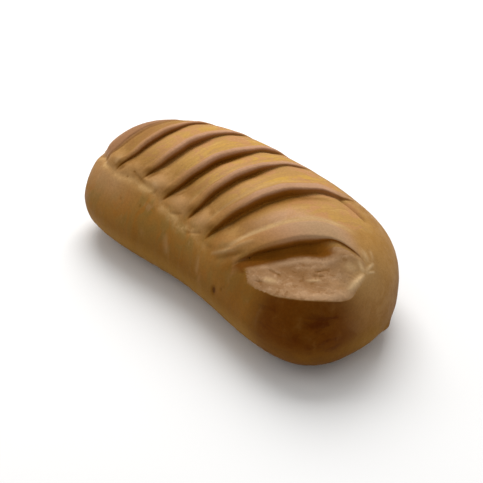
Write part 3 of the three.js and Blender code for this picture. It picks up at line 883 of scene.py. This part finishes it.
def crust_material(tint):
    """The crust: brown satin skin, golden torn floors, dark undercut walls and pale rims, with painted
    shade in the cuts, creases, pits, low down and at the near end, and painted sheen and light on the
    strips, the far side, the near shoulder and just over the base.
    """
    material = bpy.data.materials.new("Bloomer crust")
    material.use_nodes = True
    tree = material.node_tree
    make = NodeMaker(tree)
    shader = tree.nodes["Principled BSDF"]
    place = make.add("ShaderNodeTexCoord", out="Object")
    grain = make.add("ShaderNodeAttribute", out="Vector", attribute_name="grain")

    def mask(name):
        return make.add("ShaderNodeAttribute", out="Fac", attribute_name=name)

    broad = make.noise(place, 26.0, 2.0)
    mottle = make.noise(place, 95.0, 4.0, 0.62)
    patch = make.noise(place, (62.0, 62.0, 34.0), 3.0, 0.6, 0.8)
    fine = make.noise(place, 620.0, 3.0, 0.6)
    folds = make.noise(place, *FOLD_NOISE)
    rings = make.noise(place, (26.0, 26.0, 95.0), 4.0, 0.62, 0.3)
    streak = make.noise(grain, *STRAND_NOISE)
    sweep = make.noise(grain, (130.0, 17.0, 200.0), 4.0, 0.6, 1.1)
    flakes = flake_noise(make, place)

    side = make.paint(
        tint.flank,
        (tint.flank_olive, make.ramp(folds, 0.42, 0.58)),
        (tint.amber, make.ramp(patch, 0.5, 0.62, 0.0, 0.75)),
        (tint.pale_flank_and_sheen, make.ramp(folds, 0.6, 0.74, 0.0, 0.6)),
        # Painted sheen on the upper far side.
        (tint.pale_flank_and_sheen, mask("far"), make.ramp(broad, 0.2, 0.7, 1.0, 0.6)),
    )
    scorch = (make.ramp(rings, 0.48, 0.6), make.ramp(broad, 0.42, 0.56))
    baked = make.paint(tint.baked, (tint.baked_red, *scorch))
    strip = make.paint(tint.strip, (tint.flank, mask("brown"), 0.85))
    skin = make.paint(
        tint.skin,
        (tint.skin_dark, make.ramp(mottle, 0.35, 0.68)),
        # Painted light on the near shoulder.
        (tint.lit_shoulder, mask("lit_shoulder"), 0.5),
        (side, mask("flank")),
        (strip, mask("strip"), 0.85),
        # Painted sheen on the greyish strips.
        (tint.ash, mask("ash"), mask("strip")),
        # Browner crust with painted shade towards the base.
        (tint.low, mask("low"), make.ramp(folds, 0.3, 0.7, 1.0, 0.8)),
        # The near end's dark crust with painted shade.
        (baked, mask("baked"), make.ramp(mottle, 0.25, 0.75, 1.0, 0.82)),
        # Painted bounce light just over the base.
        (tint.lit_sill, mask("lit_sill"), 0.85),
        (tint.toe, mask("toe"), 0.75),
    )
    crumbs = make.ramp(make.noise(place, 170.0, 2.5, 0.6), 0.52, 0.66)
    specks = make.noise(place, (150.0, 150.0, 270.0), 2.5, 0.6)
    lens = make.paint(
        tint.lens,
        (tint.lens_pale, make.ramp(flakes, 0.35, 0.62)),
        (tint.lens_pale, mask("foot"), 0.6),
        (tint.brim, crumbs, make.ramp(flakes, 0.3, 0.6, 0.1, 0.6)),
        (tint.lens_dark, make.ramp(specks, 0.34, 0.44, 0.6, 0.0)),
        (tint.brim, mask("brim"), 0.85),
    )
    floor = make.paint(
        tint.tan,
        (tint.gold, mask("gold")),
        (tint.tan, make.ramp(sweep, 0.38, 0.56, 0.8, 0.0)),
        (tint.streak, make.ramp(sweep, 0.56, 0.74, 0.0, 0.5)),
        (tint.pink, make.ramp(patch, 0.47, 0.6, 0.0, 0.8)),
        (tint.chalk, mask("chalk"), make.ramp(mottle, 0.3, 0.6, 0.6, 1.0)),
        (tint.floor_brown, mask("brown"), make.ramp(patch, 0.3, 0.7, 0.8, 1.0)),
        # Painted shade at the foot of each floor, under its lip.
        (tint.floor_shade, make.ramp(mask("depth"), 0.5, 0.95, 0.0, 0.9)),
        (lens, mask("lens")),
    )
    # The walls' colour is dark brown crust with painted shade; the last slash takes its deep shade, and
    # its shallow start the near end's dark colour.
    wall = make.paint(tint.wall, (tint.lens_wall_shade, mask("lens")), (tint.baked, mask("shallow"), 0.7))
    ragged = make.product(make.ramp(mottle, 0.3, 0.7, -0.3, 0.3), make.rest(mask("lens")))
    marks = make.math("MAXIMUM", mask("pit"), make.product(mask("pore"), 0.3))
    surface = make.paint(
        skin,
        (floor, make.ramp(make.total(mask("torn"), ragged), 0.15, 0.9)),
        (tint.tip, mask("tip"), make.ramp(mottle, 0.3, 0.6, 0.45, 1.0)),
        (tint.valley, mask("valley"), 0.85),
        # Painted shade of the undercut walls.
        (wall, mask("wall"), 0.96),
        (tint.rim, mask("rim"), make.ramp(mottle, 0.34, 0.58, 0.2, 0.9)),
        # Painted shade in the corners beside the walls' starts.
        (tint.low, mask("corner"), 0.7),
        (tint.torn_skin, mask("edge"), 0.5),
        (tint.torn_skin, mask("pale")),
        # Painted shade in the dark creases.
        (tint.low, mask("dark")),
        # Painted shade in the pits and pores, over their own darker crust.
        (tint.low, make.ramp(marks, 0.0, 0.6)),
        (tint.pit, make.ramp(marks, 0.75, 1.0)),
    )
    surface = make.scaled(surface, make.ramp(fine, 0.3, 0.7, 0.93, 1.07))

    rough = make.math("MULTIPLY_ADD", mask("torn"), 0.2, tint.roughness)
    rough = make.total(rough, make.ramp(mottle, 0.3, 0.7, -0.05, 0.08))
    height = make.total(fine, make.product(streak, mask("torn")))
    bump = make.add("ShaderNodeBump", {"Strength": 0.3, "Distance": 0.0004, "Height": height})
    for name, value in (("Base Color", surface), ("Roughness", rough), ("Normal", bump)):
        tree.links.new(value, shader.inputs[name])
    shader.inputs["Specular IOR Level"].default_value = 0.06
    shader.inputs["Specular Tint"].default_value = (1.0, 0.6, 0.2, 1.0)
    material.diffuse_color = (*tint.skin, 1.0)
    return material


def fit_to_box(mesh, low, high):
    """Moves and scales a mesh so that it fills a box exactly."""
    flat = np.empty(len(mesh.vertices) * 3)
    mesh.vertices.foreach_get("co", flat)
    verts = flat.reshape(-1, 3)
    mesh_low, mesh_high = verts.min(0), verts.max(0)
    low, high = np.array(low), np.array(high)
    verts[:] = low + (verts - mesh_low) / (mesh_high - mesh_low) * (high - low)
    mesh.vertices.foreach_set("co", verts.ravel())
    mesh.update()


def number(name, description, default=0.0, **kind):
    return FloatProperty(name=name, description=description, default=default, **kind)


def length(name, description, default):
    return number(name, description, default, subtype="DISTANCE", unit="LENGTH")


def count(name, description, default):
    return IntProperty(name=name, description=description, default=default)


def tone(name, description, default):
    kind = dict(subtype="COLOR", size=3, min=0, max=1)
    return FloatVectorProperty(name=name, description=description, default=default, **kind)


class BloomerBody(bpy.types.PropertyGroup):
    """Sizes of the loaf's body and of its crust relief."""

    length: length("Length", "End to end", LOAF_SIZE.x)
    width: length("Width", "Across the widest section", 0.1533)
    height: length("Height", "Base to crown", LOAF_SIZE.z - 0.0002)
    belly_level: length("Belly level", "Height of the widest part", 0.0337)
    belly_drop: number("Belly drop", "Underside reach before the flat base", 1.1)
    plan_power: number("Plan power", "Squareness of the ends from above", 3.05)
    rise_power_near: number("Near rise power", "Squareness of the near end", 3.67)
    rise_power_far: number("Far rise power", "Squareness of the far end", 3.68)
    crown_power: number("Crown power", "Fullness of the section above the belly", 1.94)
    belly_power: number("Belly power", "Fullness of the section below it", 2.56)
    waist: number("Waist", "Share by which the middle is narrower", 0.07)
    waist_reach: length("Waist reach", "Half length of the waist", 0.07)
    shoulder: number("Shoulder", "Extra fullness of the hidden near shoulder", 0.05)
    bend: length("Bend", "Sideways swing of the ends", -0.0234)
    lean: length("Lean", "Sideways lean of the crown", 0.0118)
    tuck: number("Tuck", "Undercut below a lip, as a share of its roll", 0.75)
    floor_power: number("Floor power", "How fast a torn floor climbs", 1.7)
    step_down: length("Step", "Crease where a floor meets the skin", 0.0004)
    strip_crown: length("Strip crown", "Doming of each skin strip", 0.0005)
    lens_flat: length("Lens flat", "Flattening of the widest floor", 0.003)
    lens_edge: length("Lens edge", "Raised edges of the widest floor", 0.0006)
    knuckle: length("Knuckle", "Swelling of the ridge ends", 0.0016)
    rim_depth: length("Rim depth", "Crease under the ridge ends", 0.0006)
    rows_to_rim: count("Rows to rim", "Mesh rows from crown to rim", 84)
    rows_to_belly: count("Rows to belly", "Mesh rows from rim to belly", 38)
    rows_to_base: count("Rows to base", "Mesh rows from belly to base", 26)
    rows_hidden: number("Hidden rows", "Share of these rows on the far side", 0.72)
    rows_on_base: count("Rows on base", "Mesh rows from base edge to middle", 4)
    columns_cap_far: count("Far columns", "Mesh columns on the far end", 26)
    columns_lip: count("Lip columns", "Mesh columns over each lip", 18)
    columns_floor: count("Floor columns", "Mesh columns on each floor", 19)
    columns_strip: count("Strip columns", "Mesh columns on each skin strip", 6)
    columns_lens: count("Last floor columns", "Mesh columns on the widest floor", 32)
    columns_cap_near: count("Near columns", "Mesh columns on the near end", 30)
    lump: length("Lumps", "Height of the slow unevenness", 0.0010)
    wrinkle: length("Wrinkles", "Height of the fine skin wrinkles", 0.0002)
    strand: length("Strands", "Height of the torn strands", 0.0003)
    flake: length("Flakes", "Height of the flakes in the widest floor", 0.00035)
    fold: length("Folds", "Height of the upright folds of the side", 0.0009)
    blister: length("Blisters", "Height of the small blisters", 0.00025)
    pore: length("Pores", "Depth of the pores in the torn floors", 0.0006)


class BloomerSlash(bpy.types.PropertyGroup):
    """One slash across the crown."""

    at: number("At", "Degrees along at which the lip crosses the crown")
    slant: number("Slant", "Degrees along gained across half the crown")
    bow: number("Bow", "Degrees along gained at both ends")
    curl: number("Curl", "Degrees the visible end turns back")
    hook: number("Hook", "Degrees the hidden end turns on")
    depth: number("Depth", "Depth of the cut in millimetres", 8.0)
    roll: number("Roll", "Radius of the rolled lip in millimetres", 5.0)
    floor: number("Floor", "Torn share of the way to the next lip", 0.8)
    start: number("Start", "Where it starts across the crown", -0.8)
    stop: number("Stop", "Where it stops across the crown", 0.7)
    gold: number("Gold", "How golden its floor is", 1.0)
    # The ash share greys the next skin strip with a painted sheen, and also pales its own torn floor.
    ash: number("Ash", "How greyish the next skin strip is", 0.0)
    wake: number("Wake", "How far across it takes to open", 0.26)
    # The shade share sets the painted shade on its wall and on the foot of its floor.
    shade: number("Shade", "How dark its wall is", 1.0)
    fade: number("Fade", "Share of its depth lost towards the hidden side", 0.55)
    soft: number("Soft", "0 is an undercut wall, 1 an open slope", 0.0)


class BloomerTint(bpy.types.PropertyGroup):
    """Colours of the crust, painted shade, sheen and light among them."""

    skin: tone("Skin", "Skin of the crown and shoulders", (0.36, 0.19, 0.058))
    skin_dark: tone("Dark skin", "Browner mottling of the skin", (0.29, 0.14, 0.036))
    # The warm colour is painted light where the light falls on the near shoulder.
    lit_shoulder: tone("Warm", "Brighter skin of the near shoulder", (0.44, 0.225, 0.05))
    strip: tone("Strip", "Skin strips between the slashes", (0.465, 0.25, 0.152))
    # The ash colour is the greyish strip with painted sheen from the light above.
    ash: tone("Ash", "Greyish skin of the widest strip", (0.38, 0.232, 0.12))
    flank: tone("Flank", "Skin of the visible side", (0.31, 0.142, 0.026))
    flank_olive: tone("Olive flank", "Duller folds of the visible side", (0.26, 0.14, 0.03))
    # The pale flank colour serves the paler folds of the side and the painted sheen on the far side.
    pale_flank_and_sheen: tone("Pale flank", "Greyer skin of the far side", (0.40, 0.22, 0.095))
    # The low colour is browner crust with painted shade, towards the base and in corners, creases,
    # pockets and pits.
    low: tone("Low", "Skin towards the base", (0.16, 0.062, 0.006))
    # The sill colour is painted bounce light from the table on the skin just over the base.
    lit_sill: tone("Sill", "Paler skin just over the base", (0.255, 0.125, 0.02))
    gold: tone("Gold", "Golden torn floors", (0.47, 0.265, 0.055))
    tan: tone("Tan", "Browner torn floors", (0.38, 0.205, 0.068))
    streak: tone("Streak", "Pale strands in the floors", (0.55, 0.345, 0.11))
    # The deep floor colour is painted shade at the foot of each floor, under its lip.
    floor_shade: tone("Deep floor", "Browned foot of the floors", (0.24, 0.1, 0.014))
    lens: tone("Lens", "Dull floor of the last slash", (0.285, 0.145, 0.058))
    lens_dark: tone("Dark lens", "Browner specks of that floor", (0.22, 0.1, 0.03))
    chalk: tone("Chalk", "Paler floor of the widest strip's slash", (0.455, 0.265, 0.145))
    lens_pale: tone("Pale lens", "Paler patches of that floor", (0.365, 0.21, 0.105))
    # The wall colour is the dark brown of the undercut walls with their painted shade.
    wall: tone("Wall", "Undercut walls and pits", (0.27, 0.095, 0.008))
    valley: tone("Valley", "Mauve brown skin by the farthest slash", (0.27, 0.13, 0.06))
    # The deep wall colour is painted shade on the undercut wall of the widest slash.
    lens_wall_shade: tone("Deep wall", "Undercut wall of the widest slash", (0.21, 0.07, 0.004))
    amber: tone("Amber", "Warmer patches of the side", (0.33, 0.13, 0.018))
    floor_brown: tone("Brown floor", "Visible ends of the floors", (0.235, 0.11, 0.026))
    brim: tone("Brim", "Pale edges of the widest floor", (0.48, 0.295, 0.165))
    tip: tone("Tip", "Pale skin around the tip of the widest floor", (0.38, 0.22, 0.085))
    # The pit colour is the pits' own dark crust with painted shade in the hole.
    pit: tone("Pit", "Small dark holes", (0.09, 0.03, 0.003))
    toe: tone("Toe", "Ridge ends over the rim", (0.5, 0.28, 0.12))
    pink: tone("Pink", "Pinker patches of the torn floors", (0.42, 0.205, 0.085))
    torn_skin: tone("Torn skin", "Brightest stretched strands", (0.62, 0.42, 0.22))
    rim: tone("Rim", "Pale stretched dough along the rim", (0.50, 0.30, 0.12))
    # The baked colour is the near end's dark crust together with painted shade where that end turns from
    # the light.
    baked: tone("Baked", "Darkest crust of the near end", (0.1, 0.025, 0.0006))
    baked_red: tone("Baked red", "Reddish patches of the near end", (0.066, 0.011, 0.0006))
    roughness: number("Roughness", "Roughness of the skin", 0.55)


class BloomerStudio(bpy.types.PropertyGroup):
    """Camera, floor and lights."""

    azimuth: number("Azimuth", "Degrees round from the visible side", 49.86)
    elevation: number("Elevation", "Degrees above the table", 33.14)
    distance: length("Distance", "Camera to the loaf", 1.1034)
    lens: number("Lens", "Focal length in millimetres", 102.46)
    floor: tone("Floor", "Pale table top", (0.86, 0.86, 0.86))
    key: number("Key light", "Watts of the large light above and behind", 31.0)
    fill: number("Fill light", "Watts of the soft light at the left", 3.0)
    ambient: number("Ambient", "Strength of the pale surroundings", 0.54)


class BLOOMER_OT_loaf(bpy.types.Operator):
    """Build the loaf's crust from its sizes and put it in place of the plain solid"""

    bl_idname = "bloomer.loaf"
    bl_label = "Build loaf"

    def execute(self, context):
        scene = context.scene
        body, tint, slashes = scene.bloomer_body, scene.bloomer_tint, scene.bloomer_slashes
        if len(slashes) != len(SLASHES):
            raise RuntimeError("the loaf needs its seven slashes")
        shape = LoafShape(body, slashes)
        points, masks, along, rows = loaf_surface(shape, body)
        loaf_tints(shape, masks, along, rows, points)
        mesh = loaf_mesh("bloomer_crust", points, masks, shape)
        crust = bpy.data.objects.new("bloomer_crust", mesh)
        scene.collection.objects.link(crust)
        values = {name: getattr(body, size) for name, size in RELIEF_HEIGHTS.items()}
        values["Crust"] = crust_material(tint)
        apply_tree(crust, crust_relief_tree(), values)
        fit_to_box(crust.data, LOAF_LOW, LOAF_HIGH)
        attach(crust, "root")
        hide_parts("loaf")
        return {"FINISHED"}


def looking(place, aim):
    """Placement of a light or camera that looks from a place at its aim."""
    turn = (Vector(place) - Vector(aim)).to_track_quat("Z", "Y")
    return Matrix.Translation(place) @ turn.to_matrix().to_4x4()


def area_light(name, place, aim, size, watts):
    """A soft square light at a place, turned to its aim."""
    light = bpy.data.lights.new(name, "AREA")
    light.shape = "SQUARE"
    light.size = size
    light.energy = watts
    obj = bpy.data.objects.new(name, light)
    obj.matrix_world = looking(place, aim)
    bpy.context.scene.collection.objects.link(obj)


class BLOOMER_OT_studio(bpy.types.Operator):
    """Build the table top, the lights and the camera"""

    bl_idname = "bloomer.studio"
    bl_label = "Build studio"

    def execute(self, context):
        scene = context.scene
        studio = scene.bloomer_studio
        mesh = bpy.data.meshes.new("table_top")
        half = TABLE_HALF
        corners = [(-half, -half, 0), (half, -half, 0), (half, half, 0), (-half, half, 0)]
        mesh.from_pydata(corners, [], [(0, 1, 2, 3)])
        table = bpy.data.objects.new("table_top", mesh)
        scene.collection.objects.link(table)
        material = bpy.data.materials.new("Pale table")
        material.use_nodes = True
        shader = material.node_tree.nodes["Principled BSDF"]
        shader.inputs["Base Color"].default_value = (*studio.floor, 1.0)
        shader.inputs["Roughness"].default_value = 0.9
        shader.inputs["Specular IOR Level"].default_value = 0.1
        mesh.materials.append(material)

        world = bpy.data.worlds.new("Pale surroundings")
        world.use_nodes = True
        background = world.node_tree.nodes["Background"].inputs
        background["Color"].default_value = (1.0, 0.99, 0.97, 1.0)
        background["Strength"].default_value = studio.ambient
        scene.world = world
        area_light("key", (-0.75, 0.65, 1.3), (0, 0, 0.05), 1.4, studio.key)
        area_light("fill", (-1.4, -0.9, 0.7), (0, 0, 0.05), 0.8, studio.fill)

        turn, tilt = math.radians(studio.azimuth), math.radians(studio.elevation)
        flat = math.cos(tilt)
        back = Vector((math.sin(turn) * flat, -math.cos(turn) * flat, math.sin(tilt)))
        right = Vector((math.cos(turn), math.sin(turn), 0.0))
        up = back.cross(right)
        eye = CENTRE + back * studio.distance
        aim = CENTRE - right * AIM_LEFT - up * AIM_DOWN
        camera = bpy.data.objects.new("camera", bpy.data.cameras.new("camera"))
        camera.data.sensor_width = 36.0
        camera.data.lens = studio.lens
        camera.data.clip_start = 0.05
        camera.matrix_world = looking(eye, aim)
        scene.collection.objects.link(camera)
        scene.camera = camera
        scene.view_settings.view_transform = "Standard"
        return {"FINISHED"}


class BLOOMER_PT_panel(bpy.types.Panel):
    """Lists the loaf's makers in the sidebar"""

    bl_idname = "BLOOMER_PT_panel"
    bl_label = "Bloomer Loaf"
    bl_space_type = "VIEW_3D"
    bl_region_type = "UI"
    bl_category = "Bloomer"

    def draw(self, context):
        layout = self.layout
        for maker, group in (("bloomer.loaf", "bloomer_body"), ("bloomer.studio", "bloomer_studio")):
            box = layout.box()
            box.operator(maker)
            settings = getattr(context.scene, group)
            for name in settings.__annotations__:
                box.prop(settings, name)
        box = layout.box()
        for name in context.scene.bloomer_tint.__annotations__:
            box.prop(context.scene.bloomer_tint, name)


CLASSES = (
    BloomerBody,
    BloomerSlash,
    BloomerTint,
    BloomerStudio,
    BLOOMER_OT_loaf,
    BLOOMER_OT_studio,
    BLOOMER_PT_panel,
)


def register():
    for cls in CLASSES:
        bpy.utils.register_class(cls)
    bpy.types.Scene.bloomer_body = PointerProperty(type=BloomerBody)
    bpy.types.Scene.bloomer_slashes = CollectionProperty(type=BloomerSlash)
    bpy.types.Scene.bloomer_tint = PointerProperty(type=BloomerTint)
    bpy.types.Scene.bloomer_studio = PointerProperty(type=BloomerStudio)


def unregister():
    for name in ("bloomer_body", "bloomer_slashes", "bloomer_tint", "bloomer_studio"):
        delattr(bpy.types.Scene, name)
    for cls in reversed(CLASSES):
        bpy.utils.unregister_class(cls)


def main():
    register()
    scene = bpy.context.scene
    for values in SLASHES:
        slash = scene.bloomer_slashes.add()
        for name, value in values.items():
            setattr(slash, name, value)
    bpy.ops.bloomer.loaf()
    bpy.ops.bloomer.studio()


if __name__ == "__main__":
    main()
